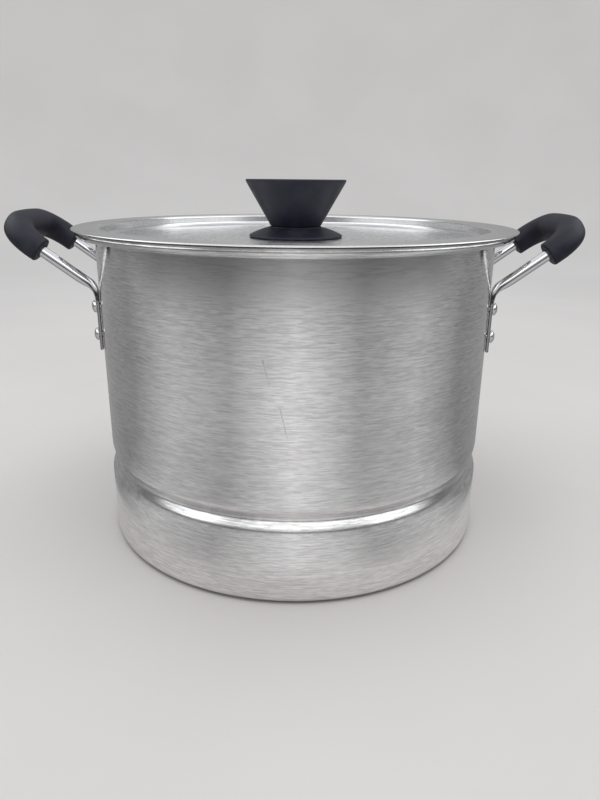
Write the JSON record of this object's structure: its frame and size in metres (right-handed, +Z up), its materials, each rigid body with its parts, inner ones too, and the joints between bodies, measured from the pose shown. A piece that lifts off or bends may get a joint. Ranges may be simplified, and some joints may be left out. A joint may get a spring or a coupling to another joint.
{
  "type": "steamer pot",
  "caption": "Tall round aluminium steamer pot with a grooved water chamber, recessed loose lid with a flared knob, riveted tube handles with black grips and a lift-out rack.",
  "frame": {"origin": "centre of the pot's flat underside, on the pot's axis", "axes": "+Z up along the pot's axis, +X through the right handle, -Y towards the front"},
  "size_m": [0.432, 0.3314, 0.2712],
  "materials": {
    "pot_aluminium": "brushed round the wall, satin",
    "lid_aluminium": "spun, semi-bright",
    "rack_aluminium": "dull mill finish",
    "handle_chrome": "polished chrome plate",
    "fastener_steel": "bright plated",
    "insert_brass": "turned",
    "black_plastic": "moulded, matte black"
  },
  "bodies": {
    "pot": {"pot_shell": "pot_aluminium", "handle_tube_left": "handle_chrome", "handle_tube_right": "handle_chrome", "grip_left": "black_plastic", "grip_right": "black_plastic", "rivet_left_front_lower": "fastener_steel", "rivet_left_front_upper": "fastener_steel", "rivet_left_back_lower": "fastener_steel", "rivet_left_back_upper": "fastener_steel", "rivet_right_front_lower": "fastener_steel", "rivet_right_front_upper": "fastener_steel", "rivet_right_back_lower": "fastener_steel", "rivet_right_back_upper": "fastener_steel"},
    "lid": {"lid_shell": "lid_aluminium", "knob": "black_plastic", "knob_skirt": "black_plastic", "knob_insert": "insert_brass", "knob_washer": "fastener_steel", "knob_screw": "fastener_steel"},
    "rack": {"steaming_rack": "rack_aluminium"}
  },
  "joints": [
    {"name": "lid_lift", "type": "slide", "parent": "pot", "child": "lid", "axis": [0, 0, 1], "range_m": [0, 0.25]},
    {"name": "rack_lift", "type": "slide", "parent": "pot", "child": "rack", "axis": [0, 0, 1], "range_m": [0, 0.14]}
  ]
}
